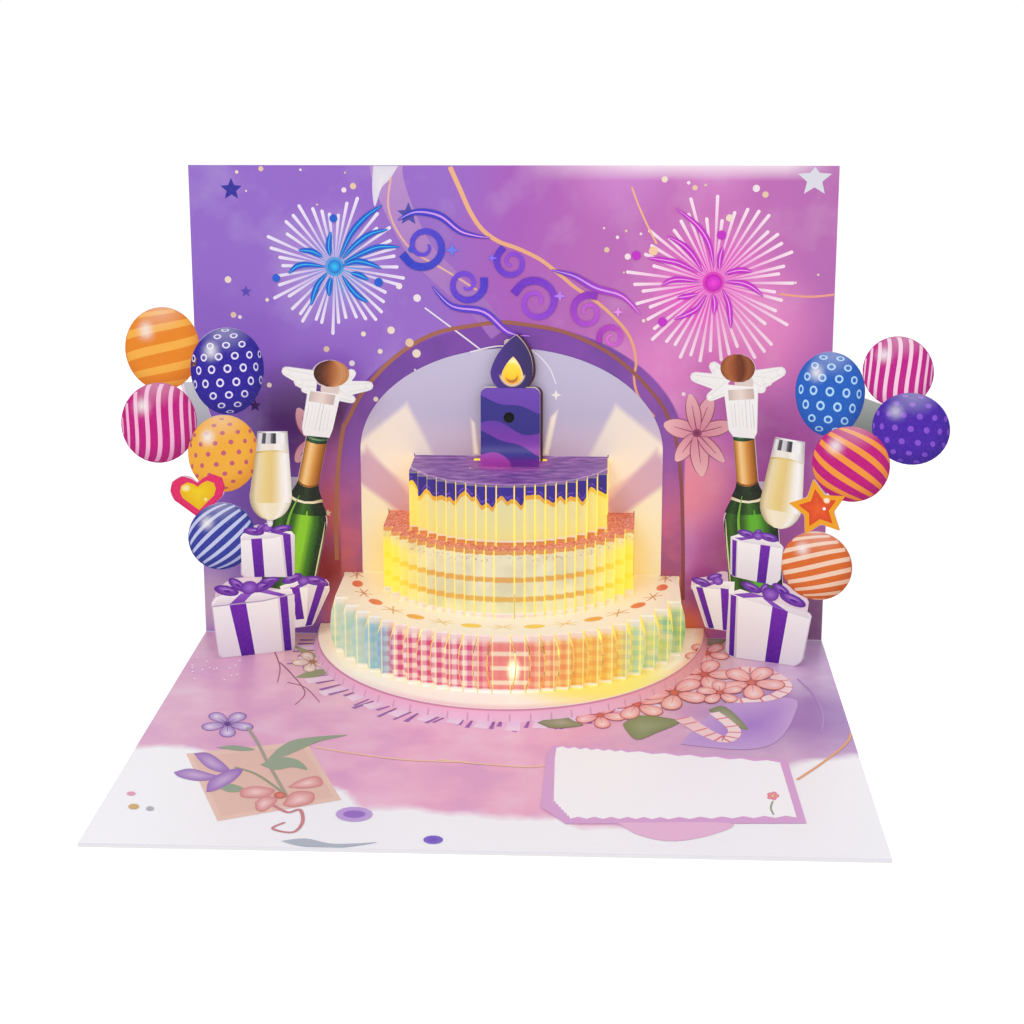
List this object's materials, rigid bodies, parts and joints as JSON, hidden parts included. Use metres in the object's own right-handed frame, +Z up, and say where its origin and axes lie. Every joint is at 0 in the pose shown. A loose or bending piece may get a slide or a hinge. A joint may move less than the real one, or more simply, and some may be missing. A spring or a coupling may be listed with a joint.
{
  "type": "pop up card",
  "caption": "Open pop up birthday card with a tiered paper cake cut from one sheet, a light up candle and a die cut scene of balloons, bottle and gifts on each side.",
  "frame": {"origin": "centre of the base panel's underside", "axes": "+X to the right along the fold, +Y towards the standing panel, +Z up from the rest face"},
  "size_m": [0.246, 0.1616, 0.1507],
  "materials": {
    "cover_board": "matte",
    "page_print": "satin",
    "cake_print": "satin",
    "scene_print": "satin",
    "brace_card": "matte",
    "candle_print": "satin",
    "core_board": "matte",
    "dark_card": "matte",
    "window_film": "glossy",
    "pad_foam": "matte",
    "circuit_board": "satin",
    "holder_plastic": "satin",
    "cell_steel": "satin",
    "contact_metal": "satin",
    "speaker_metal": "satin",
    "tongue_film": "satin",
    "led_body": "glossy",
    "strip_film": "satin",
    "mic_metal": "satin"
  },
  "bodies": {
    "root": {"cover": "cover_board", "inner_page": "page_print", "cake_sheet": "cake_print", "module_pad": "pad_foam", "sound_board": "circuit_board", "contact_leaf": "contact_metal", "switch_tongue": "tongue_film", "battery_holder": "holder_plastic", "battery_contact": "contact_metal", "battery_cell_1": "cell_steel", "battery_cell_2": "cell_steel", "battery_cell_3": "cell_steel", "speaker": "speaker_metal", "light_strip": "strip_film", "tier_led_1": "led_body", "tier_led_2": "led_body", "tier_led_3": "led_body", "tier_led_4": "led_body", "tier_led_5": "led_body", "candle_front": "candle_print", "candle_core": "core_board", "candle_back": "dark_card", "flame_window": "window_film", "candle_board": "circuit_board", "microphone": "mic_metal", "flame_led": "led_body", "left_scenery": "scene_print", "right_scenery": "scene_print", "left_brace": "brace_card", "right_brace": "brace_card"}
  },
  "joints": []
}
